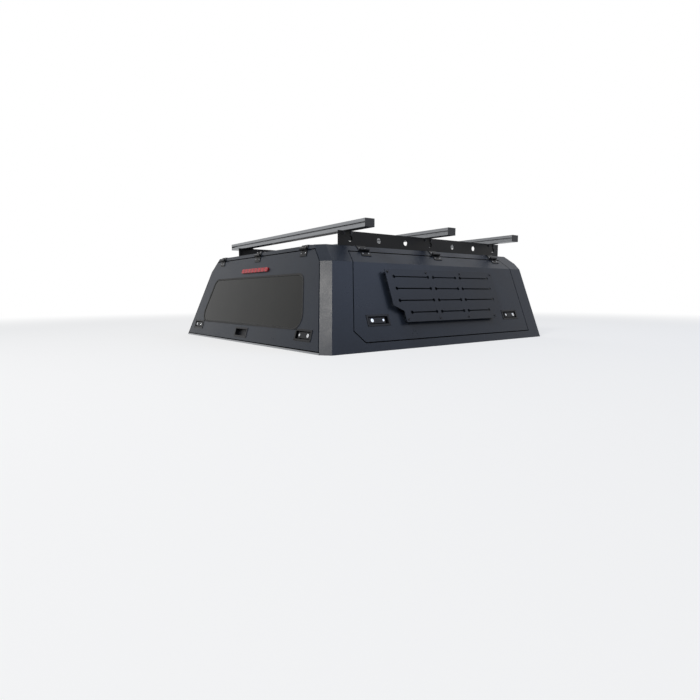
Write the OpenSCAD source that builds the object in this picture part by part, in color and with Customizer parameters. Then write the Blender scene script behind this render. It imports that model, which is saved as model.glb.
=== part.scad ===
// Pickup canopy with lift-up side doors, a glazed lift-up rear door and a roof rack.
// X points right, Y forward to the cab and Z up; the origin is at the middle of the base.

/* [Shell] */
// Width across the base
base_w = 1620; // [1560:5:1700]
// Length of the base, tailgate to cab
base_l = 1564; // [1520:5:1640]
// Height of the roof sheet above the base
roof_h = 480; // [460:2:520]
// Height of the upper facet, from the fold in the side to the roof
facet_rise = 80; // [60:2:100]
// How far each side leans in per millimetre of height
side_lean = 0.385; // [0.34:0.005:0.42]
// How far the rear face leans forward per millimetre of height
rear_rake = 0.289; // [0.24:0.005:0.32]
// Width of the facet that turns the front wall into the roof
front_facet = 44; // [36:1:56]
// Rear corner bevel, measured across the rear face
bevel_across = 44; // [36:1:56]
// Rear corner bevel, measured along the side
bevel_along = 34; // [28:1:44]
// Thickness of the folded aluminium sheet
sheet_t = 3; // [2:0.5:4]
// Width of the base flange that lies on the load bed
flange_w = 70; // [55:1:90]
// Thickness of the base flange
flange_t = 5; // [4:0.5:7]
// Height of the upstand on the base flange
upstand_h = 34; // [28:1:40]
// Radius of the bolt holes in the base flange
bolt_r = 4.5; // [4:0.5:6]
// Spacing of the bolt holes along the canopy
bolt_pitch = 1200; // [1000:20:1300]

/* [Doors] */
// Gap round each door
door_gap = 5; // [5:0.5:7]
// Depth of the folded edge of each door
door_depth = 26; // [22:1:30]
// Depth at which the lip for the rubber seal lies
lip_depth = 40; // [38:1:46]
// Width of that lip
lip_w = 20; // [16:1:24]
// Height of the rubber seal on the lip
seal_h = 8; // [5:0.5:8]
// Height of the lower edge of a side door
side_door_low = 43; // [40:1:60]
// Distance from the roof down to the upper edge of a side door
side_top_margin = 30; // [26:1:40]
// Distance from the front of the base to a side door
front_post = 102; // [80:1:130]
// Distance from the rear end of the base to a side door
rear_post = 154; // [130:1:180]
// Bevel of the lower rear corner of a side door
side_door_bevel = 50; // [30:1:70]
// Height of the lower edge of the rear door
rear_door_low = 13; // [12:1:20]
// Distance from the roof down to the upper edge of the rear door
rear_top_margin = 23; // [20:1:30]
// Width of the strip between the rear door's gap and the corner bevel
corner_land = 3; // [2:0.5:10]
// Distance of a hinge pin from the sheet
hinge_out = 10; // [9:0.5:14]
// Length of a hinge
hinge_l = 56; // [50:2:80]
// Distance of a side door's outer hinges from the ends of its upper edge
side_hinge_in = 92; // [70:2:120]
// Distance of the rear door's outer hinges from the ends of its upper edge
rear_hinge_in = 87; // [70:1:120]

/* [Window] */
// Height of the lower edge of the rear window
window_low = 93; // [85:1:110]
// Distance from the rear door's upper edge down to the window
window_drop = 105; // [98:1:140]
// Distance from the window to the edge of the rear door
window_margin = 122; // [90:1:160]
// Corner radius of the windows
window_r = 58; // [20:1:70]
// Thickness of the glass
glass_t = 5; // [4:0.5:6]
// Width of the rubber profile that holds the glass
rubber_w = 9; // [6:0.5:12]
// Distance from the side of the base to the front window
front_window_in = 360; // [300:5:450]
// Height of the lower edge of the front window
front_window_low = 120; // [100:5:160]
// Distance from the roof down to the front window
front_window_drop = 120; // [100:5:160]

/* [Latches] */
// Length of a latch rim
latch_l = 136; // [130:1:150]
// Height of a latch rim
latch_w = 54; // [50:1:60]
// Depth of a latch pan
pan_depth = 14; // [12:0.5:16]
// Height of the side door latches, measured up the side sheet
side_latch_v = 144; // [130:1:160]
// Distance of the side door latches from the ends of the door
side_latch_in = 137; // [120:1:170]
// Distance of the rear door latches from the ends of the door
rear_latch_in = 118; // [100:1:150]
// Height of the rear door latches, measured up the rear face
rear_latch_v = 76; // [70:1:85]

/* [Accessory plate] */
// Half length of the plate's upper part
plate_upper = 402; // [380:1:420]
// Half length of the plate's lower part
plate_lower = 342; // [320:1:350]
// Height of the plate's lower edge, measured up the side sheet
plate_low = 122; // [115:1:135]
// Height of the plate's lower part, up to the step
plate_step_h = 85; // [75:1:95]
// Distance from the fold in the side down to the plate
plate_drop = 40; // [34:1:50]
// Thickness of the plate
plate_t = 3; // [2:0.5:4]
// Length of the spacers behind the plate
spacer_l = 20; // [14:1:26]
// Distance from the plate's lower edge to the first row of slots
row_low = 47; // [40:1:52]
// Distance from the last row of slots to the plate's upper edge
row_high = 38; // [32:1:46]
// Width of a slot
slot_w = 6; // [5:0.5:9]
// Radius of the round ends of a slot
slot_end_r = 8.5; // [6:0.5:10]

/* [Rack] */
// Distance of a side plate from the edge of the roof
rack_in = 41; // [36:1:60]
// Height of the side plates
rack_h = 75; // [60:1:90]
// Thickness of the side plates
rack_t = 4; // [3:0.5:6]
// Distance of the side plates from the front edge of the roof
rack_front_in = 10; // [4:1:40]
// Distance of the side plates from the rear edge of the roof
rack_rear_in = 133; // [100:1:160]
// Radius of the tie-down holes
tie_r = 14; // [10:1:16]
// Distance of the first tie-down hole from the rear end of the plate
tie_rear = 72; // [50:1:90]
// Distance of the last tie-down hole from the front end of the plate
tie_front = 54; // [40:1:80]
// Length of a load bar beyond the side plates
bar_overhang = 165; // [120:5:180]
// Width of a load bar
bar_w = 54; // [46:1:64]
// Height of a load bar
bar_h = 38; // [34:1:44]
// Distance of the rear load bar from the rear end of the side plates
bar_rear = 56; // [45:1:90]
// Distance of the front load bar from the front end of the side plates
bar_front = 70; // [45:1:90]

/* [Hidden] */

$fn = 32;
big = 4000;
over = 12;
half_w = base_w / 2;
half_l = base_l / 2;
lean_angle = atan(side_lean);
rake_angle = atan(rear_rake);
fold_h = roof_h - facet_rise;
fold_x = half_w - side_lean * fold_h;
side_door_top = roof_h - side_top_margin;
side_door_front = half_l - front_post;
side_door_rear = half_l - rear_post;
rear_door_top = roof_h - rear_top_margin;
window_top = rear_door_top - window_drop;
front_window_w = base_w - 2 * front_window_in;
front_window_top = roof_h - front_window_drop;
plate_step = plate_low + plate_step_h;
plate_top = fold_h / cos(lean_angle) - plate_drop;
skin_across = sheet_t / cos(lean_angle);
bolt_x = half_w - skin_across - flange_w / 2;

function unit(v) = v / norm(v);
function side_x(z) = z <= fold_h ? half_w - side_lean * z : fold_x - (z - fold_h);
function rear_y(z) = rear_rake * z - half_l;

// The normal of edge i of an anticlockwise outline, and the outline moved outward by g.
function edge_normal(p, i) = let(d = unit(p[(i + 1) % len(p)] - p[i % len(p)])) [d[1], -d[0]];
function grow(p, g) = [for (i = [0 : len(p) - 1])
  let(a = edge_normal(p, i + len(p) - 1), b = edge_normal(p, i)) p[i] + g * (a + b) / (1 + a * b)];

// A convex outline with its corners rounded to radius r, in a few straight steps.
round_steps = 8;
function rounded(p, r) = [for (i = [0 : len(p) - 1])
  let(a = edge_normal(p, i + len(p) - 1), b = edge_normal(p, i),
      centre = p[i] - r * (a + b) / (1 + a * b),
      from = atan2(a[1], a[0]), turn = acos(a * b))
  for (k = [0 : round_steps])
    centre + r * [cos(from + turn * k / round_steps), sin(from + turn * k / round_steps)]];

// Takes away all that lies beyond a plane, given by a point on it, its outward normal and a depth.
module beyond(point, normal, depth) {
  n = unit(normal);
  translate(point - depth * n)
    rotate([0, acos(n[2]), atan2(n[1], n[0])])
      translate([-big / 2, -big / 2, 0])
        cube([big, big, big / 2]);
}

// The outer form as one solid, with its sides, rear, front and roof moved in by these depths.
across = [bevel_across, bevel_along, 0];
low_bevel = cross(across, [-side_lean, rear_rake, 1]);
high_bevel = cross(across, [-1, rear_rake, 1]);
module form(sides = 0, rear = 0, front = 0, roof = 0, foot = 0) {
  difference() {
    translate([-half_w - over, -half_l - over, -foot])
      cube([base_w + 2 * over, base_l + 2 * over, roof_h + foot + over]);
    beyond([0, 0, roof_h], [0, 0, 1], roof);
    beyond([0, half_l, 0], [0, 1, 0], front);
    beyond([0, half_l, roof_h - front_facet], [0, 1, 1], front);
    beyond([0, -half_l, 0], [0, -1, rear_rake], rear);
    for (s = [-1, 1]) {
      beyond([s * half_w, 0, 0], [s, 0, side_lean], sides);
      beyond([s * fold_x, 0, fold_h], [s, 0, 1], sides);
      beyond([s * half_w, bevel_along - half_l, 0], [s * low_bevel[0], low_bevel[1], low_bevel[2]], rear);
      beyond([s * fold_x, rear_y(fold_h) + bevel_along, fold_h],
        [s * high_bevel[0], high_bevel[1], high_bevel[2]], rear);
    }
  }
}

// The layer of the form between two depths, along the sides and the rear.
module layer(from, to) {
  difference() {
    form(from, from, sheet_t, sheet_t);
    form(to, to, -over / 2, -over / 2, over);
  }
}

// The layer between two depths behind the rear face alone, inside the outer sheets.
module rear_layer(from, to) {
  intersection() {
    form(from > 0 ? sheet_t : 0, from > 0 ? sheet_t : 0, sheet_t, sheet_t);
    on_rear() translate([-half_w, -over, -to]) cube([base_w, base_l, to - from]);
  }
}
module skin_layer(from, to, side) {
  if (side) layer(from, to);
  else rear_layer(from, to);
}

// Prisms through the right side, from an outline in Y and Z, and through the rear, in X and Z.
module side_prism(outline) {
  rotate([90, 0, 90]) linear_extrude(height = half_w + over) polygon(outline);
}
module rear_prism(outline) {
  rotate([90, 0, 0]) linear_extrude(height = half_l + over) polygon(outline);
}

// Places what is drawn in X along, Y up and Z out on the right side's sheet and on the rear face.
module on_side() {
  translate([half_w, 0, 0]) rotate([0, -lean_angle, 0]) rotate([90, 0, 90]) children();
}
module on_rear() {
  translate([0, -half_l, 0]) rotate([-rake_angle, 0, 0]) rotate([90, 0, 0]) children();
}
module both_sides() {
  children();
  mirror([1, 0, 0]) children();
}

// The door outlines; the side door's upper front corner is cut off like the front of the roof.
function side_rear_y(z) = rear_rake * z - side_door_rear;
top_cut = front_facet;
top_cut_angle = 40;
function side_door_shape(cut) = [
  [side_rear_y(side_door_low + side_door_bevel) + side_door_bevel, side_door_low],
  [side_door_front, side_door_low],
  [side_door_front, side_door_top - cut],
  [side_door_front - cut * tan(top_cut_angle), side_door_top],
  [side_rear_y(side_door_top), side_door_top],
  [side_rear_y(side_door_low + side_door_bevel), side_door_low + side_door_bevel]];
side_outline = side_door_shape(top_cut);

// The folded edge is cut back further at the upper front corner, so that it swings past the header.
return_back = 10;
side_return = side_door_shape(top_cut + return_back);
function rear_edge_x(z) = side_x(z) - bevel_across - corner_land - door_gap;
function rear_columns(low, high) = [
  [-rear_edge_x(low), low], [rear_edge_x(low), low],
  [rear_edge_x(fold_h), fold_h], [rear_edge_x(high), high],
  [-rear_edge_x(high), high], [-rear_edge_x(fold_h), fold_h]];
rear_outline = rear_columns(rear_door_low, rear_door_top);
rear_column = grow(rear_columns(-over, roof_h + over), door_gap);
window_outline = [
  [-rear_edge_x(window_low) + window_margin, window_low],
  [rear_edge_x(window_low) - window_margin, window_low],
  [rear_edge_x(window_top) - window_margin, window_top],
  [-rear_edge_x(window_top) + window_margin, window_top]];
front_outline = [
  [-front_window_w / 2, front_window_low], [front_window_w / 2, front_window_low],
  [front_window_w / 2, front_window_top], [-front_window_w / 2, front_window_top]];

// Sheet metal round the openings

module side_span(from, to, low, high) {
  side_prism([[from + rear_rake * low, low], [to, low], [to, high], [from + rear_rake * high, high]]);
}
rear_line = -side_door_rear - door_gap;
front_line = side_door_front + door_gap;
split_z = fold_h / 2;

module rear_quarter() {
  color("dimgray")
    difference() {
      intersection() {
        layer(0, sheet_t);
        side_prism([[-half_l - over, -over], [rear_line - rear_rake * over, -over],
          [rear_line + rear_rake * (roof_h + over), roof_h + over], [-half_l - over, roof_h + over]]);
      }
      rear_prism(rear_column);
    }
}
module front_quarter() {
  color("dimgray")
    intersection() {
      layer(0, sheet_t);
      side_prism([[front_line, -over], [half_l + over, -over],
        [half_l + over, roof_h + over], [front_line, roof_h + over]]);
    }
}
module side_strip(low, high) {
  color("dimgray")
    difference() {
      intersection() {
        layer(0, sheet_t);
        side_span(rear_line, front_line, low, high);
      }
      side_prism(grow(side_outline, door_gap));
    }
}
module side_sill() {
  side_strip(-over, split_z);
}
module side_header() {
  side_strip(split_z, roof_h + over);
}
module rear_header() {
  color("dimgray")
    difference() {
      intersection() {
        rear_layer(0, sheet_t);
        rear_prism(rear_column);
        translate([-half_w, -base_l, rear_door_top]) cube([base_w, base_l, roof_h]);
      }
      rear_prism(grow(rear_outline, door_gap));
    }
}

// The base flange: plates on the load bed inside the sheet, with an upstand along the sheet
upstand_t = 4;
module flange_plate(x0, x1, y0, y1) {
  intersection() {
    form(sheet_t, sheet_t, sheet_t, sheet_t);
    translate([x0, y0, 0]) cube([x1 - x0, y1 - y0, flange_t]);
  }
}
rear_flange_y = -half_l + flange_w;
front_flange_y = half_l - flange_w;
module base_rail_side() {
  color("gray")
    difference() {
      union() {
        flange_plate(half_w - skin_across - flange_w, half_w, rear_flange_y, front_flange_y);
        intersection() {
          layer(sheet_t, sheet_t + upstand_t);
          translate([0, rear_flange_y, 0]) cube([half_w, front_flange_y - rear_flange_y, upstand_h]);
        }
      }
      for (s = [-1, 1])
        translate([bolt_x, s * bolt_pitch / 2, -over]) cylinder(h = flange_t + 2 * over, r = bolt_r);
    }
}
module base_rail_front() {
  color("gray") flange_plate(-half_w, half_w, front_flange_y, half_l);
}
module rear_sill() {
  color("gray")
    difference() {
      intersection() {
        form();
        translate([-half_w, -half_l, 0]) cube([base_w, flange_w, rear_door_low - door_gap]);
      }
      difference() {
        form(-over / 2, -over / 2, -over / 2, -over / 2, over);
        form(sheet_t, sheet_t, -over, -over, 2 * over);
        rear_prism(rear_column);
      }
      intersection() {
        form(sheet_t, sheet_t, 0, 0);
        translate([-half_w, -half_l, flange_t]) cube([base_w, base_l, roof_h]);
      }
    }
}

// Front wall, roof and the window to the cab
module cap() {
  difference() {
    form();
    form(-over / 2, -over / 2, sheet_t, sheet_t, over);
  }
}
front_split = roof_h - front_facet;
module front_cut(outline) {
  translate([0, half_l + over, 0]) rear_prism(outline);
}
module front_wall() {
  color("dimgray")
    difference() {
      intersection() {
        cap();
        translate([-half_w, 0, 0]) cube([base_w, base_l, front_split]);
      }
      front_cut(rounded(front_outline, window_r));
    }
}
module roof_panel() {
  color("dimgray")
    intersection() {
      cap();
      translate([-half_w, -half_l, front_split]) cube([base_w, base_l, roof_h]);
    }
}
module front_pane(from, to, outline, hole) {
  difference() {
    intersection() {
      translate([-half_w, half_l - to, 0]) cube([base_w, to - from, roof_h]);
      front_cut(outline);
    }
    front_cut(hole);
  }
}
rubber_out = 2;
rubber_in = 7;
none = [[0, -2 * over], [1, -2 * over], [0, 1 - 2 * over]];
module front_glass() {
  color("darkslategray")
    front_pane(0, glass_t, rounded(grow(front_outline, -rubber_w), window_r - rubber_w), none);
}
module front_rubber() {
  color("black")
    front_pane(0, rubber_in, rounded(front_outline, window_r),
      rounded(grow(front_outline, -rubber_w), window_r - rubber_w));
}
bow_w = 50;
bow_h = 22;
bow_t = 2.5;
bow_half = side_x(roof_h) - lip_depth;
module roof_bows() {
  color("gray")
    for (k = [-1 : 1])
      translate([-bow_half, k * bar_pitch + bar_middle - bow_w / 2, roof_h - sheet_t - bow_h])
        difference() {
          cube([2 * bow_half, bow_w, bow_h]);
          translate([-over, bow_t, bow_t]) cube([2 * (bow_half + over), bow_w - 2 * bow_t, bow_h]);
        }
}

// Door surrounds: a wall round the opening and a lip behind the door, which carries the seal
module surround(outline, side) {
  module prism(g) {
    if (side) side_prism(grow(outline, g));
    else rear_prism(grow(outline, g));
  }
  difference() {
    intersection() {
      skin_layer(sheet_t, lip_depth, side);
      prism(door_gap + sheet_t);
    }
    prism(door_gap);
  }
  difference() {
    intersection() {
      skin_layer(lip_depth, lip_depth + sheet_t, side);
      prism(door_gap + sheet_t);
    }
    prism(-lip_w);
  }
}
module door_frame_side() {
  color("gray") surround(side_outline, true);
}
module door_frame_rear() {
  color("gray") surround(rear_outline, false);
}
seal_in = 4;
module seal_ring(outline, side) {
  module prism(g) {
    if (side) side_prism(grow(outline, g));
    else rear_prism(grow(outline, g));
  }
  difference() {
    intersection() {
      skin_layer(lip_depth - seal_h, lip_depth, side);
      prism(-seal_in);
    }
    prism(seal_in - lip_w);
  }
}
module door_seals() {
  color("black") {
    both_sides() seal_ring(side_outline, true);
    seal_ring(rear_outline, false);
  }
}

// Doors: an outer skin with a folded edge and a return flange
module door_pan(outline, inner, side) {
  module prism(p, g) {
    if (side) side_prism(grow(p, g));
    else rear_prism(grow(p, g));
  }
  intersection() {
    skin_layer(0, sheet_t, side);
    prism(outline, 0);
  }
  difference() {
    intersection() {
      skin_layer(sheet_t / 2, door_depth, side);
      prism(inner, 0);
    }
    prism(inner, -sheet_t);
  }
  difference() {
    intersection() {
      skin_layer(door_depth - sheet_t, door_depth, side);
      prism(inner, 0);
    }
    prism(inner, -lip_w);
  }
}
rim_end = 8;
rim_side = 7;
pan_cut_l = latch_l - 2 * rim_end;
pan_cut_w = latch_w - 2 * rim_side;
module pan_hole(l = pan_cut_l, w = pan_cut_w) {
  translate([-l / 2, -w / 2, -pan_depth]) cube([l, w, pan_depth + over]);
}
door_mid = (side_door_front + side_rear_y(side_latch_v)) / 2;
side_latch_u = (side_door_front - side_rear_y(side_latch_v)) / 2 - side_latch_in;
rear_latch_u = rear_edge_x(rear_latch_v * cos(rake_angle)) - rear_latch_in;
module side_door() {
  color("dimgray")
    difference() {
      door_pan(side_outline, side_return, true);
      for (s = [-1, 1]) on_side() translate([door_mid + s * side_latch_u, side_latch_v, 0]) pan_hole();
    }
}
pull_l = 130;
pull_w = 40;
pull_v = 56;
pull_depth = 20;
module rear_door() {
  color("dimgray")
    difference() {
      door_pan(rear_outline, rear_outline, false);
      rear_prism(rounded(window_outline, window_r));
      for (s = [-1, 1]) on_rear() translate([s * rear_latch_u, rear_latch_v, 0]) pan_hole();
      on_rear() translate([0, pull_v, 0]) pan_hole(pull_l, pull_w);
    }
}
module rear_pane(from, to, outline, hole) {
  difference() {
    intersection() {
      on_rear() translate([-half_w, -over, -to]) cube([base_w, base_l, to - from]);
      rear_prism(outline);
    }
    rear_prism(hole);
  }
}
glass_outline = rounded(grow(window_outline, -rubber_w), window_r - rubber_w);
module rear_glass() {
  color("darkslategray") rear_pane(0, glass_t, glass_outline, none);
}
module rear_rubber() {
  color("black") rear_pane(-rubber_out, rubber_in, rounded(window_outline, window_r), glass_outline);
}

// Latches: a rim on the skin, a pan through it, a pin across it and a paddle that lifts on the pin
pan_t = 2;
pin_r = 2.5;
pin_end = 20;
pin_u = pan_cut_l / 2 - pin_end;
pin_in = 6;
pin_clear = 0.3;
eye_r = 4.5;
paddle_gap = 5;
paddle_w = pan_cut_w - 2 * pan_t - 2 * paddle_gap;
module pan(l = pan_cut_l, w = pan_cut_w, depth = pan_depth) {
  difference() {
    union() {
      translate([-l / 2, -w / 2, -depth]) cube([l, w, depth]);
      translate([-l / 2 - rim_end, -w / 2 - rim_side, 0]) cube([l + 2 * rim_end, w + 2 * rim_side, pan_t]);
    }
    translate([-l / 2 + pan_t, -w / 2 + pan_t, pan_t - depth])
      cube([l - 2 * pan_t, w - 2 * pan_t, depth + over]);
  }
}
module latch_pan() {
  pan();
  translate([pin_u, pan_cut_w / 2 - pan_t, -pin_in]) rotate([90, 0, 0])
    cylinder(h = pan_cut_w - 2 * pan_t, r = pin_r);
}
paddle_l = pan_cut_l / 2 - pan_t - paddle_gap + pin_u;
paddle_t = 4;
module paddle() {
  color("black")
    difference() {
      union() {
        translate([pin_u - paddle_l, -paddle_w / 2, -pin_in]) cube([paddle_l, paddle_w, paddle_t]);
        translate([pin_u, paddle_w / 2, -pin_in]) rotate([90, 0, 0]) cylinder(h = paddle_w, r = eye_r);
      }
      translate([pin_u, paddle_w, -pin_in]) rotate([90, 0, 0])
        cylinder(h = 2 * paddle_w, r = pin_r + pin_clear);
    }
}
// s is 1 where the latch lies beyond the middle, and its pin is always towards the middle.
module at_side_latch(s) {
  on_side() translate([door_mid + s * side_latch_u, side_latch_v, 0])
    mirror([s > 0 ? 1 : 0, 0, 0]) children();
}
module at_rear_latch(s) {
  on_rear() translate([s * rear_latch_u, rear_latch_v, 0]) mirror([s > 0 ? 1 : 0, 0, 0]) children();
}
module latch_pans_side() {
  color("black") for (s = [-1, 1]) at_side_latch(s) latch_pan();
}
module rear_pans() {
  color("black") {
    for (s = [-1, 1]) at_rear_latch(s) latch_pan();
    on_rear() translate([0, pull_v, 0]) pan(pull_l, pull_w, pull_depth);
  }
}
light_l = 306;
light_w = 22;
light_drop = 74;
light_v = (rear_door_top - light_drop) / cos(rake_angle);
light_out = 8;
module brake_light() {
  color("red")
    on_rear() translate([0, light_v, 0]) linear_extrude(height = light_out) {
      square([light_l - light_w, light_w], center = true);
      for (s = [-1, 1]) translate([s * (light_l - light_w) / 2, 0]) circle(r = light_w / 2);
    }
}

// Hinges, drawn with X along the pin, Y down to the door and Z out of the sheet
knuckle_r = 6;
hinge_pin_r = 3;
leaf_t = 3;
leaf_l = 28;
hinge_gap = 1;
hinge_over = 2;
knuckle_l = (hinge_l - 2 * hinge_gap) / 3;
module knuckle(x, l, hole) {
  translate([x, 0, hinge_out]) rotate([0, 90, 0])
    difference() {
      cylinder(h = l, r = knuckle_r);
      if (hole > 0) translate([0, 0, -over]) cylinder(h = l + 2 * over, r = hole);
    }
}
module web(x, l) {
  difference() {
    translate([x, knuckle_r - leaf_t, 0]) cube([l, leaf_t, hinge_out]);
    translate([x - over, 0, hinge_out]) rotate([0, 90, 0])
      cylinder(h = l + 2 * over, r = hinge_pin_r + pin_clear);
  }
}
module strap(up_l, turn) {
  bend = [-up_l, 0];
  tip = bend - strap_l * [cos(turn), sin(turn)];
  rotate([90, 0, 90]) translate([0, 0, -hinge_l / 2]) linear_extrude(hinge_l)
    polygon([[-leaf_t, 0], bend, tip, tip + leaf_t * [-sin(turn), cos(turn)],
      [-up_l - leaf_t * tan(turn / 2), leaf_t], [-leaf_t, leaf_t]]);
}
module fixed_half(up_l, turn) {
  strap(up_l, turn);
  knuckle(-knuckle_l / 2, knuckle_l, 0);
  translate([-knuckle_l / 2, -knuckle_r, 0]) cube([knuckle_l, leaf_t, hinge_out]);
  translate([-hinge_l / 2, 0, hinge_out]) rotate([0, 90, 0]) cylinder(h = hinge_l, r = hinge_pin_r);
}
module door_half() {
  for (s = [0, 1]) {
    x = s > 0 ? hinge_l / 2 - knuckle_l : -hinge_l / 2;
    knuckle(x, knuckle_l, hinge_pin_r + pin_clear);
    web(x, knuckle_l);
  }
  translate([-hinge_l / 2, knuckle_r - leaf_t, 0]) cube([hinge_l, leaf_l + door_gap, leaf_t]);
}
strap_l = rack_in - rack_t / 2;
side_foot_z = side_door_top + door_gap + hinge_over * sin(45);
side_strap_up = (roof_h - side_foot_z) / sin(45);
top_mid = (side_door_front + side_rear_y(side_door_top)) / 2;
side_hinge_u = (side_door_front - side_rear_y(side_door_top)) / 2 - side_hinge_in;
module at_side_hinges() {
  for (k = [-1 : 1])
    translate([side_x(side_foot_z), top_mid + k * side_hinge_u, side_foot_z])
      rotate([0, 45, 0]) rotate([0, 0, -90]) children();
}
rear_foot_z = rear_door_top + door_gap + hinge_over * cos(rake_angle);
rear_strap_up = (roof_h - rear_foot_z) / cos(rake_angle);
rear_hinge_u = rear_edge_x(rear_door_top) - rear_hinge_in;
module at_rear_hinges() {
  for (k = [-1 : 1])
    translate([k * rear_hinge_u, rear_y(rear_foot_z), rear_foot_z])
      rotate([90 - rake_angle, 0, 0]) rotate([0, 0, 180]) children();
}
module hinge_bases() {
  color("black") {
    both_sides() at_side_hinges() fixed_half(side_strap_up, 45);
    at_rear_hinges() fixed_half(rear_strap_up, 90 - rake_angle);
  }
}
module side_hinges() {
  color("black") at_side_hinges() door_half();
}
module rear_hinges() {
  color("black") at_rear_hinges() door_half();
}

// The slotted plate on a side door, on spacers
module slot(from, to, v) {
  translate([min(from, to), v - slot_w / 2]) square([abs(to - from), slot_w]);
  for (u = [from, to]) translate([u, v]) circle(r = slot_end_r);
}
slot_middle = 84;
slot_side = 122;
slot_margin = 48;
last_row = 3;
row_pitch = (plate_top - plate_low - row_low - row_high) / last_row;
module plate_shape() {
  difference() {
    polygon([[-plate_lower, plate_low], [plate_lower, plate_low],
      [plate_lower, plate_step - (plate_upper - plate_lower) / 2], [plate_upper, plate_step],
      [plate_upper, plate_top], [-plate_upper, plate_top],
      [-plate_upper, plate_step], [-plate_lower, plate_step - (plate_upper - plate_lower) / 2]]);
    for (row = [0 : last_row]) {
      v = plate_low + row_low + row * row_pitch;
      far = (row == 0 ? plate_lower : plate_upper) - slot_margin;
      slot(-slot_middle, slot_middle, v);
      for (s = [-1, 1]) slot(s * slot_side, s * far, v);
    }
  }
}
spacer_r = 7;
spacer_edge = 14;
module accessory_plate() {
  color("black")
    on_side() translate([door_mid, 0, 0]) {
      translate([0, 0, spacer_l]) linear_extrude(height = plate_t) plate_shape();
      for (s = [-1, 1]) {
        for (k = [1, 3]) {
          translate([s * (plate_upper - spacer_edge) * k / 3, plate_top - spacer_edge, 0])
            cylinder(h = spacer_l, r = spacer_r);
          translate([s * (plate_lower - spacer_edge) * k / 3, plate_low + spacer_edge, 0])
            cylinder(h = spacer_l, r = spacer_r);
        }
      }
    }
}

// The roof rack
rack_foot_w = 34;
rack_x = side_x(roof_h) - rack_in;
rack_top = roof_h + rack_h;
rack_front = half_l - front_facet - rack_front_in;
rack_rear = -rear_y(roof_h) - rack_rear_in;
tie_count = 7;
tie_first = tie_rear - rack_rear;
tie_pitch = (rack_front - tie_front - tie_first) / (tie_count - 1);
bar_l = 2 * (rack_x + bar_overhang);
bar_pitch = (rack_front - bar_front + rack_rear - bar_rear) / 2;
bar_middle = (rack_front - bar_front - rack_rear + bar_rear) / 2;
module rack_plate() {
  color("black")
    difference() {
      union() {
        translate([rack_x - rack_t / 2, -rack_rear, roof_h])
          cube([rack_t, rack_front + rack_rear, rack_top - roof_h]);
        translate([rack_x - rack_t / 2 - rack_foot_w, -rack_rear, roof_h])
          cube([rack_foot_w + rack_t, rack_front + rack_rear, rack_t]);
      }
      for (k = [0 : tie_count - 1])
        translate([rack_x - rack_t, tie_first + k * tie_pitch, (roof_h + rack_t + rack_top) / 2])
          rotate([0, 90, 0]) cylinder(h = 2 * rack_t, r = tie_r);
    }
}
slot_mouth = 8;
slot_deep = 12;
slot_wide = 16;
bar_wall = 2.5;
module bar_shape() {
  difference() {
    square([bar_w, bar_h], center = true);
    for (s = [0, 1]) mirror([s, 0]) {
      translate([bar_w / 2 - slot_deep, -slot_mouth / 2]) square([slot_deep + 1, slot_mouth]);
      translate([bar_w / 2 - slot_deep, -slot_wide / 2]) square([slot_deep - bar_wall, slot_wide]);
    }
    translate([-slot_mouth / 2, bar_h / 2 - slot_deep + bar_wall]) square([slot_mouth, slot_deep]);
    square([bar_w - 2 * slot_deep - 2 * bar_wall, bar_h - 2 * slot_deep - 2 * bar_wall], center = true);
  }
}
module load_bar(k) {
  color("silver")
    translate([-bar_l / 2, bar_middle + k * bar_pitch, rack_top + bar_h / 2])
      rotate([90, 0, 90]) linear_extrude(height = bar_l) bar_shape();
}
cap_t = 4;
module bar_caps() {
  color("black")
    both_sides() for (k = [-1 : 1])
      translate([bar_l / 2, bar_middle + k * bar_pitch - bar_w / 2, rack_top]) cube([cap_t, bar_w, bar_h]);
}
clamp_t = 4;
clamp_w = 70;
clamp_h = 46;
module bar_clamps() {
  color("black")
    both_sides() for (k = [-1 : 1])
      translate([rack_x - rack_t / 2 - clamp_t, bar_middle + k * bar_pitch - clamp_w / 2,
          rack_top - clamp_h]) {
        cube([clamp_t, clamp_w, clamp_h]);
        translate([-clamp_h / 2, 0, clamp_h - clamp_t]) cube([clamp_h / 2, clamp_w, clamp_t]);
      }
}

base_rail_side();  // base_rail_right
mirror([1, 0, 0]) base_rail_side();  // base_rail_left
base_rail_front();
rear_sill();
rear_quarter();  // rear_quarter_right
mirror([1, 0, 0]) rear_quarter();  // rear_quarter_left
front_quarter();  // front_quarter_right
mirror([1, 0, 0]) front_quarter();  // front_quarter_left
side_sill();  // side_sill_right
mirror([1, 0, 0]) side_sill();  // side_sill_left
side_header();  // side_header_right
mirror([1, 0, 0]) side_header();  // side_header_left
rear_header();
front_wall();
front_glass();
front_rubber();
roof_panel();
roof_bows();
door_frame_side();  // door_frame_right
mirror([1, 0, 0]) door_frame_side();  // door_frame_left
door_frame_rear();
door_seals();
hinge_bases();
rack_plate();  // rack_plate_right
mirror([1, 0, 0]) rack_plate();  // rack_plate_left
load_bar(-1);  // load_bar_rear
load_bar(0);  // load_bar_middle
load_bar(1);  // load_bar_front
bar_caps();
bar_clamps();
side_door();  // side_door_right
side_hinges();  // side_hinges_right
accessory_plate();  // accessory_plate_right
latch_pans_side();  // latch_pans_right
at_side_latch(-1) paddle();  // paddle_right_rear
at_side_latch(1) paddle();  // paddle_right_front
mirror([1, 0, 0]) side_door();  // side_door_left
mirror([1, 0, 0]) side_hinges();  // side_hinges_left
mirror([1, 0, 0]) accessory_plate();  // accessory_plate_left
mirror([1, 0, 0]) latch_pans_side();  // latch_pans_left
mirror([1, 0, 0]) at_side_latch(-1) paddle();  // paddle_left_rear
mirror([1, 0, 0]) at_side_latch(1) paddle();  // paddle_left_front
rear_door();
rear_glass();
rear_rubber();
rear_hinges();
rear_pans();
brake_light();
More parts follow.
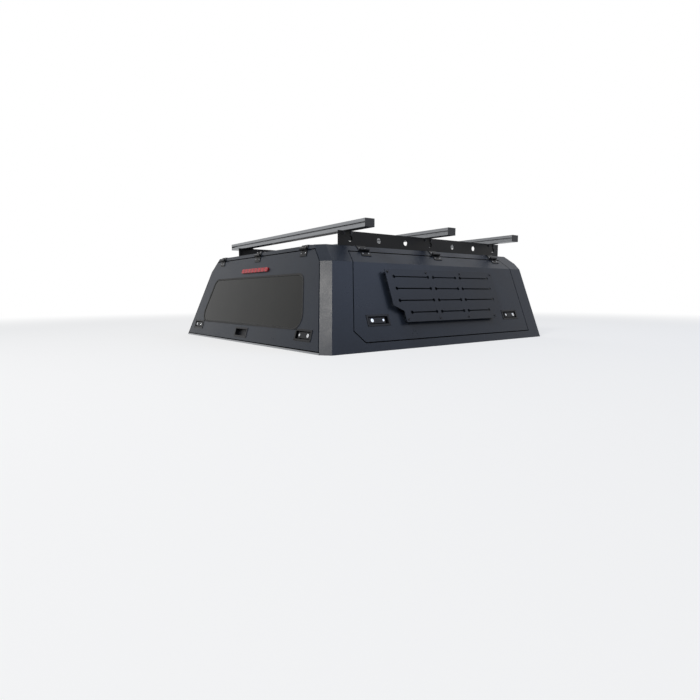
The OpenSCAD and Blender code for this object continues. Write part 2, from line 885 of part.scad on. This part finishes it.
at_rear_latch(-1) paddle();  // paddle_rear_left
at_rear_latch(1) paddle();  // paddle_rear_right
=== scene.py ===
import math
import bmesh
import bpy
from mathutils import Euler, Matrix, Vector


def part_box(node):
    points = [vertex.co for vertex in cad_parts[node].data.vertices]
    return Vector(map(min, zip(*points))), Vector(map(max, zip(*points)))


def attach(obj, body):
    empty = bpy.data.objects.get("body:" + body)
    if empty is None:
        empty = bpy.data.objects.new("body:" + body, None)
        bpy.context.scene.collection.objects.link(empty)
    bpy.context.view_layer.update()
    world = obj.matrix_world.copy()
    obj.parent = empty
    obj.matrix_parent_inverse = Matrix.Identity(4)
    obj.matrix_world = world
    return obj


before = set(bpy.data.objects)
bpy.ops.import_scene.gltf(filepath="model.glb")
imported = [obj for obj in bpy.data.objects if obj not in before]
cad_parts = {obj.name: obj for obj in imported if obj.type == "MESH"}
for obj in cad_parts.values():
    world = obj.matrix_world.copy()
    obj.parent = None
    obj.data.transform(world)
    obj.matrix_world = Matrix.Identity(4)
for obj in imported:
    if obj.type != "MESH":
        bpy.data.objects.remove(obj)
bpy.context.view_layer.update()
mm = 0.001

# The photo's camera, solved from the canopy's own corners. It stands a quarter metre above the base.
cameraSetup = {
    "place": (2.440, -1.9304, 0.2430),
    "heading": math.radians(53.51),
    "tilt": math.radians(-6.149),
    "roll": math.radians(-0.293),
    "lens": 25.36,
    "shift": (0.0193, -0.0008),
}


def makeCamera(setup):
    data = bpy.data.cameras.new("photoCamera")
    data.lens = setup["lens"]
    data.sensor_width = 36
    data.shift_x, data.shift_y = setup["shift"]
    data.clip_start = 0.01
    camera = bpy.data.objects.new("photoCamera", data)
    bpy.context.collection.objects.link(camera)
    turn = Euler((math.pi / 2 + setup["tilt"], 0, setup["heading"])).to_matrix()
    turn = turn @ Matrix.Rotation(setup["roll"], 3, "Z")
    camera.matrix_world = Matrix.Translation(setup["place"]) @ turn.to_4x4()
    bpy.context.scene.camera = camera


makeCamera(cameraSetup)
print("camera set")


# Materials
def linearColour(hexCode, alpha=1.0):
    parts = [int(hexCode[i:i + 2], 16) / 255 for i in (1, 3, 5)]
    return [c / 12.92 if c <= 0.04045 else ((c + 0.055) / 1.055) ** 2.4 for c in parts] + [alpha]


def addNode(tree, kind, values=None, links=None, stops=None, **settings):
    # Stops are the places and colours along a colour ramp.
    node = tree.nodes.new(kind)
    for name, value in settings.items():
        setattr(node, name, value)
    for name, value in (values or {}).items():
        node.inputs[name].default_value = value
    for name, source in (links or {}).items():
        tree.links.new(source, node.inputs[name])
    if stops:
        for element, (position, colour) in zip(node.color_ramp.elements, stops):
            element.position = position
            element.color = linearColour(colour)
    return node


def startMaterial(name, **surface):
    material = bpy.data.materials.new(name)
    material.use_nodes = True
    shader = material.node_tree.nodes["Principled BSDF"]
    for socket, value in surface.items():
        shader.inputs[socket.replace("_", " ")].default_value = value
    place = addNode(material.node_tree, "ShaderNodeTexCoord").outputs["Object"]
    return material, material.node_tree, shader, place


def grainScale(sizeMm):
    return 1 / (sizeMm * mm)


# The charcoal and plate coats are the coat's own near-black plus a bluish cast that is painted sky
# reflection.
powderCoats = {
    "charcoalPowderCoat": {"dark": "#232933", "light": "#2d333d", "roughness": 0.30, "grainMm": 1.6,
                           "grainDepth": 0.12},
    # The slotted plate wears the charcoal coat again; its darker colours here are painted shade.
    "shadedPlatePowderCoat": {"dark": "#1b2029", "light": "#252a33", "roughness": 0.32, "grainMm": 1.6,
                        "grainDepth": 0.12},
    "blackPowderCoat": {"dark": "#0c0d10", "light": "#15161a", "roughness": 0.34, "grainMm": 1.4,
                        "grainDepth": 0.10},
    "latchPowderCoat": {"dark": "#101115", "light": "#1a1b20", "roughness": 0.30, "grainMm": 1.0,
                        "grainDepth": 0.06},
}
coatDust = {"cloudMm": 220, "speckMm": 9, "speckShare": 0.35, "from": 0.45, "to": 0.95}


def powderCoat(name, coat):
    # Polyester powder baked on sheet aluminium: a satin skin with a fine orange-peel grain that
    # catches light softly. The grain is drawn coarser than the real 0.3 mm so that it shows.
    material, tree, shader, place = startMaterial(
        name, Roughness=coat["roughness"], IOR=1.5, Specular_IOR_Level=0.2)
    cloud = addNode(tree, "ShaderNodeTexNoise",
                    {"Scale": grainScale(coatDust["cloudMm"]), "Detail": 5, "Roughness": 0.62},
                    {"Vector": place})
    speck = addNode(tree, "ShaderNodeTexNoise", {"Scale": grainScale(coatDust["speckMm"]), "Detail": 3},
                    {"Vector": place})
    faint = addNode(tree, "ShaderNodeMath", {1: coatDust["speckShare"]}, {0: speck.outputs["Fac"]},
                    operation="MULTIPLY")
    dust = addNode(tree, "ShaderNodeMath", {}, {0: cloud.outputs["Fac"], 1: faint.outputs[0]},
                   operation="ADD")
    tint = addNode(tree, "ShaderNodeValToRGB", links={"Fac": dust.outputs[0]},
                   stops=[(coatDust["from"], coat["dark"]), (coatDust["to"], coat["light"])])
    tree.links.new(tint.outputs["Color"], shader.inputs["Base Color"])
    gloss = addNode(tree, "ShaderNodeMapRange",
                    {"From Min": 0.4, "From Max": 0.9, "To Min": coat["roughness"] - 0.05,
                     "To Max": coat["roughness"] + 0.09}, {"Value": dust.outputs[0]})
    tree.links.new(gloss.outputs["Result"], shader.inputs["Roughness"])
    grain = addNode(tree, "ShaderNodeTexNoise", {"Scale": grainScale(coat["grainMm"]), "Detail": 2},
                    {"Vector": place})
    bump = addNode(tree, "ShaderNodeBump", {"Strength": 0.35, "Distance": coat["grainDepth"] * mm},
                   {"Height": grain.outputs["Fac"]})
    tree.links.new(bump.outputs["Normal"], shader.inputs["Normal"])
    return material


extrusion = {"dark": "#7c7e81", "light": "#9a9c9f", "lineMm": 1.2, "lineDepth": 0.1, "smoothest": 0.26,
             "roughest": 0.42}


def extrudedAluminium(alloy):
    # Extruded and clear anodised: fine die lines along the bar blur the reflection across it.
    material, tree, shader, place = startMaterial("anodisedExtrusion", Metallic=1.0, Roughness=0.32)
    lineScale = grainScale(alloy["lineMm"])
    drawn = addNode(tree, "ShaderNodeMapping", {"Scale": (2, lineScale, lineScale)}, {"Vector": place})
    lines = addNode(tree, "ShaderNodeTexNoise", {"Scale": 1, "Detail": 4}, {"Vector": drawn.outputs[0]})
    tint = addNode(tree, "ShaderNodeValToRGB", links={"Fac": lines.outputs["Fac"]},
                   stops=[(0.3, alloy["dark"]), (0.7, alloy["light"])])
    tree.links.new(tint.outputs["Color"], shader.inputs["Base Color"])
    gloss = addNode(tree, "ShaderNodeMapRange", {"To Min": alloy["smoothest"], "To Max": alloy["roughest"]},
                    {"Value": lines.outputs["Fac"]})
    tree.links.new(gloss.outputs["Result"], shader.inputs["Roughness"])
    bump = addNode(tree, "ShaderNodeBump", {"Strength": 0.12, "Distance": alloy["lineDepth"] * mm},
                   {"Height": lines.outputs["Fac"]})
    tree.links.new(bump.outputs["Normal"], shader.inputs["Normal"])
    return material


smoke = {"dark": "#141510", "light": "#1f201b", "filmMm": 140, "clean": 0.03, "dusty": 0.13}


def smokedGlass(pane):
    # Tempered float glass with a smoke tint: a polished face over a dark, faintly olive body.
    material, tree, shader, place = startMaterial(
        "smokedTemperedGlass", Roughness=0.05, IOR=1.52, Transmission_Weight=0.35, Specular_IOR_Level=0.06)
    film = addNode(tree, "ShaderNodeTexNoise", {"Scale": grainScale(pane["filmMm"]), "Detail": 3},
                   {"Vector": place})
    tint = addNode(tree, "ShaderNodeValToRGB", links={"Fac": film.outputs["Fac"]},
                   stops=[(0.35, pane["dark"]), (0.75, pane["light"])])
    tree.links.new(tint.outputs["Color"], shader.inputs["Base Color"])
    haze = addNode(tree, "ShaderNodeMapRange", {"To Min": pane["clean"], "To Max": pane["dusty"]},
                   {"Value": film.outputs["Fac"]})
    tree.links.new(haze.outputs["Result"], shader.inputs["Roughness"])
    return material


rubberSkin = {"dark": "#141414", "light": "#252526", "bloomMm": 30, "pitMm": 1.5, "pitDepth": 0.1}


def sealRubber(skin):
    # Extruded EPDM: dull black with a faint bloom and a soft, slightly pitted skin.
    material, tree, shader, place = startMaterial("extrudedRubber", Roughness=0.72, IOR=1.5)
    bloom = addNode(tree, "ShaderNodeTexNoise", {"Scale": grainScale(skin["bloomMm"]), "Detail": 4},
                    {"Vector": place})
    tint = addNode(tree, "ShaderNodeValToRGB", links={"Fac": bloom.outputs["Fac"]},
                   stops=[(0.35, skin["dark"]), (0.8, skin["light"])])
    tree.links.new(tint.outputs["Color"], shader.inputs["Base Color"])
    pits = addNode(tree, "ShaderNodeTexNoise", {"Scale": grainScale(skin["pitMm"]), "Detail": 2},
                   {"Vector": place})
    bump = addNode(tree, "ShaderNodeBump", {"Strength": 0.25, "Distance": skin["pitDepth"] * mm},
                   {"Height": pits.outputs["Fac"]})
    tree.links.new(bump.outputs["Normal"], shader.inputs["Normal"])
    return material


capNylon = {"dark": "#17181a", "light": "#26272a", "grainMm": 1.4, "grainDepth": 0.1}


def mouldedPlastic(cap):
    # Injection-moulded nylon: matt black with the fine spark-eroded grain of its tool.
    material, tree, shader, place = startMaterial("mouldedNylon", Roughness=0.55, IOR=1.5)
    grain = addNode(tree, "ShaderNodeTexVoronoi", {"Scale": grainScale(cap["grainMm"])}, {"Vector": place})
    tint = addNode(tree, "ShaderNodeValToRGB", links={"Fac": grain.outputs["Distance"]},
                   stops=[(0.1, cap["dark"]), (0.8, cap["light"])])
    tree.links.new(tint.outputs["Color"], shader.inputs["Base Color"])
    bump = addNode(tree, "ShaderNodeBump", {"Strength": 0.3, "Distance": cap["grainDepth"] * mm},
                   {"Height": grain.outputs["Distance"]})
    tree.links.new(bump.outputs["Normal"], shader.inputs["Normal"])
    return material


lampRed = {"dark": "#a00a18", "light": "#d81830", "ribMm": 6, "ribDepth": 0.6}


def lampLens(lamp):
    # Moulded acrylic: clear red with prism ribs behind a polished face. The bands lie 2 pi times the
    # real 6 mm apart, because ribs as close as the real ones wouldn't show.
    material, tree, shader, place = startMaterial(
        "mouldedAcrylicLens", Roughness=0.22, IOR=1.49, Specular_IOR_Level=0.2, Transmission_Weight=0.15,
        Coat_Weight=0.15, Coat_Roughness=0.08)
    ribs = addNode(tree, "ShaderNodeTexWave", {"Scale": grainScale(lamp["ribMm"]) / 20, "Distortion": 0.0},
                   {"Vector": place}, bands_direction="X")
    tint = addNode(tree, "ShaderNodeValToRGB", links={"Fac": ribs.outputs["Fac"]},
                   stops=[(0.1, lamp["dark"]), (0.9, lamp["light"])])
    tree.links.new(tint.outputs["Color"], shader.inputs["Base Color"])
    bump = addNode(tree, "ShaderNodeBump", {"Strength": 0.4, "Distance": lamp["ribDepth"] * mm},
                   {"Height": ribs.outputs["Fac"]})
    tree.links.new(bump.outputs["Normal"], shader.inputs["Normal"])
    return material


platings = {
    "chromePlatedZinc": {"dark": "#c8cacd", "light": "#e6e8ea", "roughness": 0.09},
    "blackZincScrew": {"dark": "#26272a", "light": "#3c3d41", "roughness": 0.34},
    "stainlessScrew": {"dark": "#8d8f93", "light": "#b4b6b9", "roughness": 0.24},
}
polishHazeMm = 2.5


def platedMetal(name, plating):
    # Small metal parts: even and bright, with a faint polishing haze that breaks up the reflection.
    material, tree, shader, place = startMaterial(name, Metallic=1.0, Roughness=plating["roughness"])
    haze = addNode(tree, "ShaderNodeTexNoise", {"Scale": grainScale(polishHazeMm), "Detail": 3},
                   {"Vector": place})
    tint = addNode(tree, "ShaderNodeValToRGB", links={"Fac": haze.outputs["Fac"]},
                   stops=[(0.3, plating["dark"]), (0.7, plating["light"])])
    tree.links.new(tint.outputs["Color"], shader.inputs["Base Color"])
    gloss = addNode(tree, "ShaderNodeMapRange",
                    {"To Min": plating["roughness"] * 0.7, "To Max": plating["roughness"] * 1.5},
                    {"Value": haze.outputs["Fac"]})
    tree.links.new(gloss.outputs["Result"], shader.inputs["Roughness"])
    return material


charcoalCoat, shadedPlateCoat, blackCoat, latchCoat = [powderCoat(name, coat) for name, coat in powderCoats.items()]
barAlloy = extrudedAluminium(extrusion)
paneGlass = smokedGlass(smoke)
rubber = sealRubber(rubberSkin)
nylon = mouldedPlastic(capNylon)
lens = lampLens(lampRed)
chrome, blackScrew, brightScrew = [platedMetal(name, plating) for name, plating in platings.items()]
print("materials made")

# What each CAD piece is finished in; the first words that fit its name decide.
finishes = [
    ("hinge", blackCoat), ("rack_plate", blackCoat), ("bar_clamps", blackCoat), ("door_frame", blackCoat),
    ("accessory_plate", shadedPlateCoat), ("latch_pans", latchCoat), ("rear_pans", latchCoat),
    ("paddle", latchCoat), ("load_bar", barAlloy), ("bar_caps", nylon), ("glass", paneGlass),
    ("rubber", rubber), ("door_seals", rubber), ("brake_light", lens), ("rear_sill", barAlloy),
    ("", charcoalCoat),
]
edgeRadii = {
    "skins": (("quarter", "side_door", "rear_door", "sill", "header", "front_wall", "roof"), 1.0),
    "fittings": (("plate", "paddle", "pans", "load_bar", "bar_caps", "hinge", "clamps", "brake"), 0.6),
}
edgeStyle = {"steps": 2, "roundedBeyond": 32, "crispBeyond": 38}


def dressNode(name, piece):
    material = next(finish for words, finish in finishes if words in name)
    piece.data.materials.clear()
    piece.data.materials.append(material)
    for words, radius in edgeRadii.values():
        if any(word in name for word in words):
            # A small radius on each edge, as folding and coating leave it, so that edges catch light.
            edge = piece.modifiers.new("edgeRadius", "BEVEL")
            edge.width = radius * mm
            edge.segments = edgeStyle["steps"]
            edge.limit_method = "ANGLE"
            edge.angle_limit = math.radians(edgeStyle["roundedBeyond"])
            edge.harden_normals = True
            break


for nodeName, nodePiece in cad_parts.items():
    dressNode(nodeName, nodePiece)
print("CAD pieces finished:", len(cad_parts))

# Faces of the shell, from which every fitting is placed; the fold and the roof are heights in millimetres.
shell = {"lean": 0.385, "rake": 0.289, "fold": 400, "roof": 480}
quarterLow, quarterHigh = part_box("rear_quarter_right")
halfWidth = quarterHigh[0]
halfLength = -quarterLow[1]


def sideFace(side):
    slope = math.hypot(1, shell["lean"])
    up = Vector((-side * shell["lean"], 0, 1)) / slope
    out = Vector((side, 0, shell["lean"])) / slope
    return Vector((side * halfWidth, 0, 0)), Vector((0, 1, 0)), up, out


def rearFace():
    slope = math.hypot(1, shell["rake"])
    up = Vector((0, shell["rake"], 1)) / slope
    out = Vector((0, -1, shell["rake"])) / slope
    return Vector((0, -halfLength, 0)), Vector((1, 0, 0)), up, out


def facetFace(side, foot):
    return foot, Vector((0, 1, 0)), Vector((-side, 0, 1)).normalized(), Vector((side, 0, 1)).normalized()


def onFace(face, along, up, out=0.0):
    origin, alongWay, upWay, outWay = face
    return origin + alongWay * along * mm + upWay * up * mm + outWay * out * mm


def finishPiece(name, mesh, body, materials):
    data = bpy.data.meshes.new(name)
    bmesh.ops.recalc_face_normals(mesh, faces=mesh.faces)
    mesh.to_mesh(data)
    mesh.free()
    piece = bpy.data.objects.new(name, data)
    bpy.context.collection.objects.link(piece)
    for material in materials:
        data.materials.append(material)
    data.shade_smooth()
    edges = piece.modifiers.new("crispEdges", "EDGE_SPLIT")
    edges.split_angle = math.radians(edgeStyle["crispBeyond"])
    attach(piece, body)


def turned(mesh, profile, place, out, sides=24, flats=0, materialIndex=0):
    # Turns a profile of (radius, height) in millimetres about the way out. The last rings, as many as
    # flats says, are hexagons, for a socket.
    turn = out.to_track_quat("Z", "Y").to_matrix()
    rings = []
    for step, (radius, height) in enumerate(profile):
        hexagon = flats and step >= len(profile) - flats
        ring = []
        for i in range(sides):
            angle = 2 * math.pi * i / sides
            reach = radius
            if hexagon:
                reach = radius * math.cos(math.pi / 6) / math.cos(angle % (math.pi / 3) - math.pi / 6)
            point = Vector((reach * math.cos(angle), reach * math.sin(angle), height)) * mm
            ring.append(mesh.verts.new(place + turn @ point))
        rings.append(ring)
    for low, high in zip(rings, rings[1:]):
        for i in range(sides):
            face = mesh.faces.new((low[i], low[(i + 1) % sides], high[(i + 1) % sides], high[i]))
            face.material_index = materialIndex
    for ring in (rings[0], rings[-1]):
        mesh.faces.new(ring).material_index = materialIndex


def buttonScrew(mesh, place, out, radius):
    high = radius * 0.55
    turned(mesh, [(radius, 0), (radius, high * 0.3), (radius * 0.86, high * 0.75), (radius * 0.6, high),
                  (radius * 0.48, high), (radius * 0.48, high * 0.3)], place, out, flats=2)


def hexBolt(mesh, place, out, radius):
    washer = radius * 1.45
    turned(mesh, [(washer, 0), (washer, 1.4), (washer * 0.94, 1.6), (radius * 0.9, 1.6)], place, out)
    turned(mesh, [(radius, 1.6), (radius, 5.2), (radius * 0.88, 5.8)], place, out, sides=6)


def keyLock(mesh, place, out, radius):
    turned(mesh, [(radius, 0), (radius, 1.6), (radius * 0.9, 2.0), (radius * 0.78, 2.0), (radius * 0.72, 1.5),
                  (radius * 0.2, 1.5)], place, out)
    turned(mesh, [(radius * 0.3, 1.45), (radius * 0.3, 1.62)], place, out, sides=4, materialIndex=1)


# How far out the fold and the roof's edge lie, and the outlines of the doors
foldAcross = halfWidth / mm - shell["lean"] * shell["fold"]
roofAcross = foldAcross - (shell["roof"] - shell["fold"])
sideDoor = {"front": 680, "rear": 628, "top": 450, "gap": 5}
rearDoor = {"top": 457, "corner": 52}


def sideDoorRear(height):
    return shell["rake"] * height - sideDoor["rear"]


hinges = {"sideIn": 92, "rearIn": 87, "over": 2, "leafScrewUp": 17, "doorScrewDown": 21, "across": 18,
          "strapScrewIn": 22, "leafOut": 3, "screw": 3.6}


def hingeRows():
    # Each row gives the face that the hinges stand on, the roof's edge above it and the body of the door.
    foot = sideDoor["top"] + sideDoor["gap"] + hinges["over"] * math.sin(math.radians(45))
    middle = (sideDoor["front"] + sideDoorRear(sideDoor["top"])) / 2
    spread = (sideDoor["front"] - sideDoorRear(sideDoor["top"])) / 2 - hinges["sideIn"]
    for side, name in ((1, "right"), (-1, "left")):
        across = foldAcross - (foot - shell["fold"])
        face = facetFace(side, Vector((side * across, 0, foot)) * mm)
        roofEdge = Vector((side * roofAcross, 0, shell["roof"])) * mm
        inward = Vector((-side, 0, 0))
        yield "door_" + name, face, roofEdge, inward, [middle + k * spread for k in (-1, 0, 1)]
    slope = math.hypot(1, shell["rake"])
    foot = rearDoor["top"] + sideDoor["gap"] + hinges["over"] / slope
    origin, along, up, out = rearFace()
    face = (origin + Vector((0, shell["rake"], 1)) * foot * mm, along, up, out)
    roofEdge = origin + Vector((0, shell["rake"], 1)) * shell["roof"] * mm
    spread = foldAcross - (rearDoor["top"] - shell["fold"]) - rearDoor["corner"] - hinges["rearIn"]
    yield "door_rear", face, roofEdge, Vector((0, 1, 0)), [k * spread for k in (-1, 0, 1)]


def makeHingeScrews():
    fixed = bmesh.new()
    for body, face, roofEdge, inward, places in hingeRows():
        moving = bmesh.new()
        for place in places:
            for sign in (-1, 1):
                along = place + sign * hinges["across"]
                buttonScrew(moving, onFace(face, along, -hinges["doorScrewDown"], hinges["leafOut"]), face[3],
                            hinges["screw"])
                buttonScrew(fixed, onFace(face, along, hinges["leafScrewUp"], hinges["leafOut"]), face[3],
                            hinges["screw"])
                strap = roofEdge + face[1] * along * mm + inward * hinges["strapScrewIn"] * mm
                buttonScrew(fixed, strap + Vector((0, 0, hinges["leafOut"] * mm)), Vector((0, 0, 1)),
                            hinges["screw"])
        finishPiece("hinge_screws_" + body, moving, body, [brightScrew])
    finishPiece("hinge_screws_roof", fixed, "canopy", [brightScrew])


makeHingeScrews()
print("hinges screwed on")

# Bolts that hold each load bar on its clamps, and the screws through the rack's feet
rack = {"in": 41, "high": 75, "thick": 4, "footWide": 34, "rearIn": 133, "frontIn": 10, "frontFacet": 44,
        "barRear": 56, "barFront": 70, "boltDown": 11, "boltApart": 22, "bolt": 6.5, "footScrews": 8,
        "footScrewIn": 40, "footScrew": 5}


def makeRackBolts():
    mesh = bmesh.new()
    plateAcross = roofAcross - rack["in"]
    front = halfLength / mm - rack["frontFacet"] - rack["frontIn"]
    rear = shell["rake"] * shell["roof"] - halfLength / mm + rack["rearIn"]
    bars = [rear + rack["barRear"], 0, front - rack["barFront"]]
    bars[1] = (bars[0] + bars[2]) / 2
    for side in (1, -1):
        out = Vector((side, 0, 0))
        for bar in bars:
            for sign in (-1, 1):
                place = Vector((side * (plateAcross + rack["thick"] / 2), bar + sign * rack["boltApart"],
                                shell["roof"] + rack["high"] - rack["boltDown"])) * mm
                hexBolt(mesh, place, out, rack["bolt"])
        foot = side * (plateAcross - rack["footWide"] / 2 - rack["thick"] / 2)
        for k in range(rack["footScrews"]):
            row = front - rear - 2 * rack["footScrewIn"]
            along = rear + rack["footScrewIn"] + row * k / (rack["footScrews"] - 1)
            buttonScrew(mesh, Vector((foot, along, shell["roof"] + rack["thick"])) * mm, Vector((0, 0, 1)),
                        rack["footScrew"])
    finishPiece("rack_bolts", mesh, "canopy", [blackScrew])


makeRackBolts()
print("rack bolted down")

# Screws on the slotted plates, one on each spacer
plateScrews = {"middle": 46.8, "upperHalf": 388, "lowerHalf": 328, "upperHeight": 374.6, "lowerHeight": 136,
               "faceOut": 23, "radius": 6.5}


def makePlateScrews(side, body):
    mesh = bmesh.new()
    face = sideFace(side)
    for sign in (-1, 1):
        for share in (1 / 3, 1):
            for half, height in (("upperHalf", "upperHeight"), ("lowerHalf", "lowerHeight")):
                along = plateScrews["middle"] + sign * plateScrews[half] * share
                buttonScrew(mesh, onFace(face, along, plateScrews[height], plateScrews["faceOut"]), face[3],
                            plateScrews["radius"])
    finishPiece("plate_screws_" + body, mesh, body, [blackScrew])


# Locks on the latch handles and small screws in the corners of each latch rim
latch = {"sideAlong": 496.2, "sideUp": 144, "rearAlong": 611.9, "rearUp": 76, "lockAt": 36, "coverAt": 31,
         "handleOut": -2, "rimHalfLength": 64, "rimHalfWidth": 23.5, "rimOut": 2, "rimScrew": 2.6,
         "lockRadius": 8.5, "coverRadius": 6}


def makeLocks(face, along, up, sign, name, body):
    mesh = bmesh.new()
    # The pin is always towards the door's middle, and the lock at the handle's free end.
    keyLock(mesh, onFace(face, along + sign * latch["lockAt"], up, latch["handleOut"]), face[3],
            latch["lockRadius"])
    keyLock(mesh, onFace(face, along - sign * latch["coverAt"], up, latch["handleOut"]), face[3],
            latch["coverRadius"])
    finishPiece("locks_" + name, mesh, body, [chrome, blackScrew])


def makeRimScrews(face, places, name, body):
    mesh = bmesh.new()
    for along, up in places:
        for end in (-1, 1):
            for edge in (-1, 1):
                corner = onFace(face, along + end * latch["rimHalfLength"], up + edge * latch["rimHalfWidth"],
                                latch["rimOut"])
                buttonScrew(mesh, corner, face[3], latch["rimScrew"])
    finishPiece("rim_screws_" + name, mesh, body, [blackScrew])


def fitDoors():
    middle = plateScrews["middle"]
    for side, name in ((1, "right"), (-1, "left")):
        face = sideFace(side)
        makePlateScrews(side, "door_" + name)
        for sign, end in ((-1, "rear"), (1, "front")):
            makeLocks(face, middle + sign * latch["sideAlong"], latch["sideUp"], sign, name + "_" + end,
                      "handle_" + name + "_" + end)
        rims = [(middle + sign * latch["sideAlong"], latch["sideUp"]) for sign in (-1, 1)]
        makeRimScrews(face, rims, name, "door_" + name)
    face = rearFace()
    for sign, end in ((-1, "left"), (1, "right")):
        makeLocks(face, sign * latch["rearAlong"], latch["rearUp"], sign, "rear_" + end, "handle_rear_" + end)
    rims = [(sign * latch["rearAlong"], latch["rearUp"]) for sign in (-1, 1)]
    makeRimScrews(face, rims, "rear", "door_rear")


fitDoors()
print("latches and plates fitted")

# The floor, the backdrop and the light
studio = {
    "backdropColour": "#ffffff",
    "floorColour": "#8f8f8e",
    "skyColour": "#c9d8f0",
    "skyStrength": 0.30,
    "floorMetres": 60,
    "floorGlow": 0.68,
    "nearMetres": 2.5,
    "farMetres": 5.5,
    "aim": (0, 0, 0.25),
    "key": {"place": (1.42, -3.86, 3.5), "size": 1.1, "power": 120, "colour": "#fcf9f4"},
    "sky": {"place": (2.8, 2.0, 3.4), "size": 3.0, "power": 36, "colour": "#bcd2ff"},
    "fill": {"place": (-3.4, 1.6, 3.0), "size": 2.6, "power": 40, "colour": "#fff6ec"},
}


def areaLight(name, setup, aim):
    data = bpy.data.lights.new(name, "AREA")
    data.shape = "DISK"
    data.size = setup["size"]
    data.energy = setup["power"]
    data.color = linearColour(setup["colour"])[:3]
    light = bpy.data.objects.new(name, data)
    bpy.context.collection.objects.link(light)
    light.location = setup["place"]
    light.rotation_euler = (Vector(aim) - light.location).to_track_quat("-Z", "Y").to_euler()


def seenByCamera(tree, forLight, forCamera, output):
    # One shader for the rays that light the canopy, and another for those that show in the picture.
    path = addNode(tree, "ShaderNodeLightPath")
    through = addNode(tree, "ShaderNodeMath", {}, {0: path.outputs["Is Camera Ray"],
                      1: path.outputs["Is Transmission Ray"]}, operation="MAXIMUM")
    seen = addNode(tree, "ShaderNodeMath", {}, {0: through.outputs[0], 1: path.outputs["Is Glossy Ray"]},
                   operation="MAXIMUM")
    mix = addNode(tree, "ShaderNodeMixShader", {}, {0: seen.outputs[0], 1: forLight, 2: forCamera})
    addNode(tree, output, {}, {"Surface": mix.outputs[0]})


def makeStudio(setup):
    # The camera, and reflections in the shell and glass, see plain white all round, while light falling on
    # the shell comes from a dimmer, bluish sky.
    world = bpy.data.worlds.new("studioWorld")
    bpy.context.scene.world = world
    world.use_nodes = True
    tree = world.node_tree
    tree.nodes.clear()
    soft = addNode(tree, "ShaderNodeBackground", {"Color": linearColour(setup["skyColour"]),
                   "Strength": setup["skyStrength"]})
    plain = addNode(tree, "ShaderNodeBackground", {"Color": linearColour(setup["backdropColour"]),
                    "Strength": 1.0})
    seenByCamera(tree, soft.outputs[0], plain.outputs[0], "ShaderNodeOutputWorld")

    # Near the canopy the floor takes its shadow; further out it fades into the white.
    bpy.ops.mesh.primitive_plane_add(size=setup["floorMetres"], location=(0, 0, 0))
    floor = bpy.context.object
    floor.name = "floor"
    material = bpy.data.materials.new("paleFloor")
    material.use_nodes = True
    tree = material.node_tree
    tree.nodes.clear()
    place = addNode(tree, "ShaderNodeTexCoord").outputs["Object"]
    away = addNode(tree, "ShaderNodeVectorMath", {}, {0: place}, operation="LENGTH")
    fade = addNode(tree, "ShaderNodeMapRange",
                   {"From Min": setup["nearMetres"], "From Max": setup["farMetres"]},
                   {"Value": away.outputs["Value"]}, interpolation_type="SMOOTHSTEP")
    grey = addNode(tree, "ShaderNodeBsdfDiffuse", {"Color": linearColour(setup["floorColour"])})
    glow = addNode(tree, "ShaderNodeEmission", {"Color": linearColour(setup["backdropColour"]),
                   "Strength": setup["floorGlow"]})
    lit = addNode(tree, "ShaderNodeAddShader", {}, {0: grey.outputs[0], 1: glow.outputs[0]})
    white = addNode(tree, "ShaderNodeEmission", {"Color": linearColour(setup["backdropColour"]),
                    "Strength": 1.0})
    shown = addNode(tree, "ShaderNodeMixShader", {}, {0: fade.outputs["Result"], 1: lit.outputs[0],
                    2: white.outputs[0]})
    seenByCamera(tree, grey.outputs[0], shown.outputs[0], "ShaderNodeOutputMaterial")
    floor.data.materials.append(material)
    for name in ("key", "sky", "fill"):
        areaLight(name, setup[name], setup["aim"])


makeStudio(studio)
bpy.context.scene.view_settings.view_transform = "Standard"
print("studio set")
